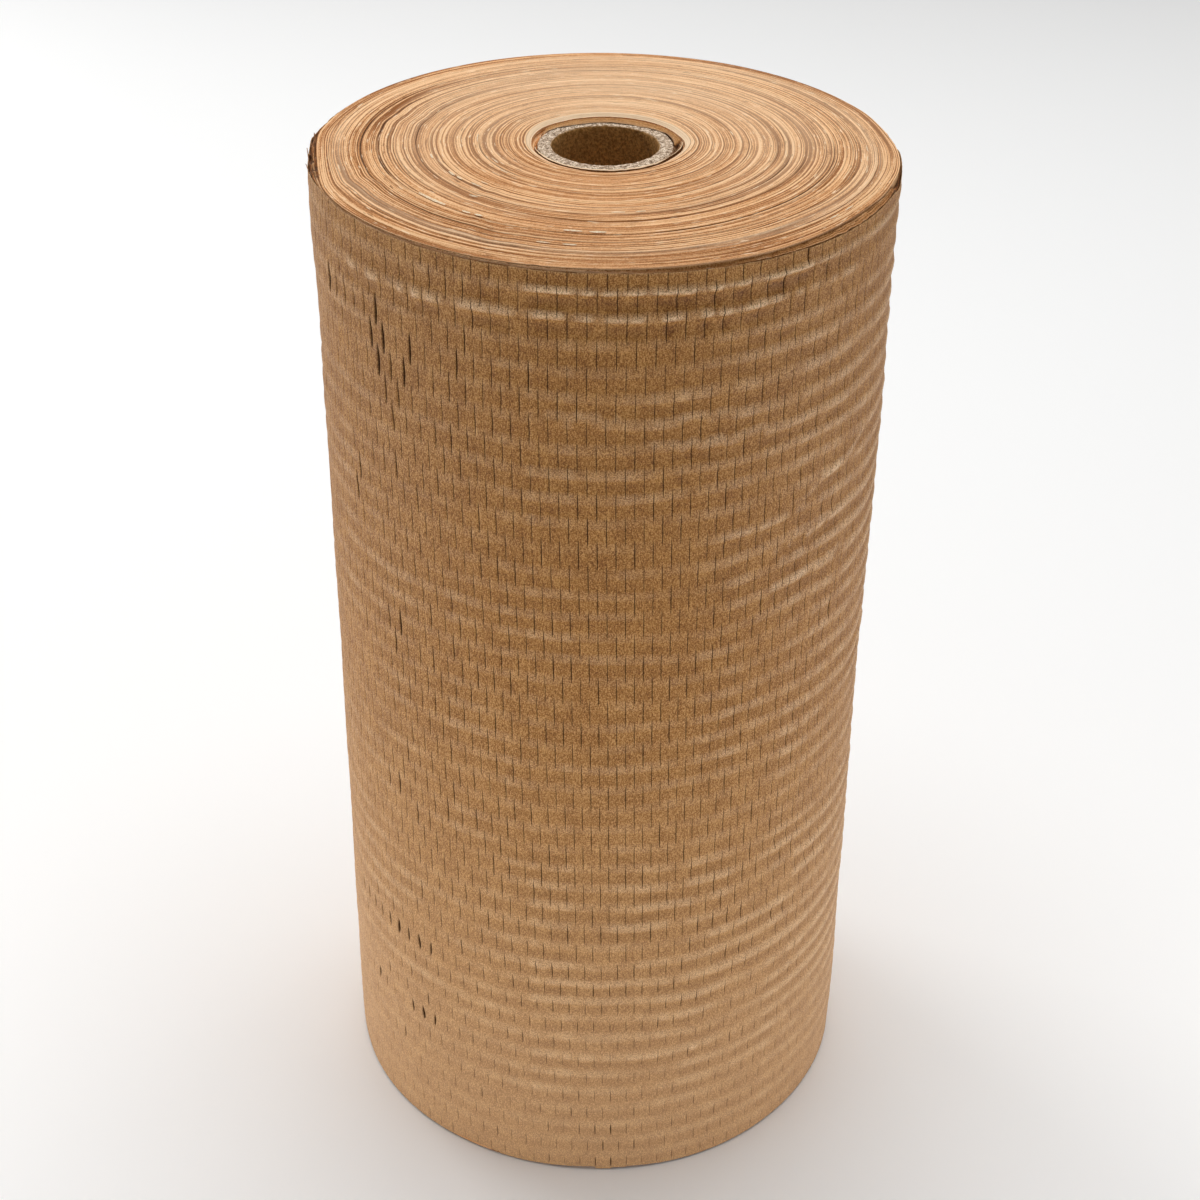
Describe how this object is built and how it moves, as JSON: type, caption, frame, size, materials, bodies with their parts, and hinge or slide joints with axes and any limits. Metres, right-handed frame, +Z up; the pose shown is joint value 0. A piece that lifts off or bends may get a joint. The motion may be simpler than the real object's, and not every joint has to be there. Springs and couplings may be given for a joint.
{
  "type": "kraft paper roll",
  "caption": "Tall roll of slit kraft paper wound on a thick chipboard core, standing on its end, with domed layered ends and fine staggered slits round the side.",
  "frame": {"origin": "on the roll's axis, level with the floor that the lower rim stands on", "axes": "+Z up along the roll's axis; -Y is the side that faces the viewer; the web's free edge is at the back, 28 degrees past +Y towards -X"},
  "size_m": [0.2078, 0.2079, 0.403],
  "materials": {
    "kraft_paper": "matte brown kraft with a faint calendered sheen on the puckers, pale tan cut edges on the ends",
    "chipboard": "grey-beige speckled recycled board, matte"
  },
  "bodies": {
    "root": {"paper_roll": "kraft_paper", "core_tube": "chipboard"}
  },
  "joints": []
}
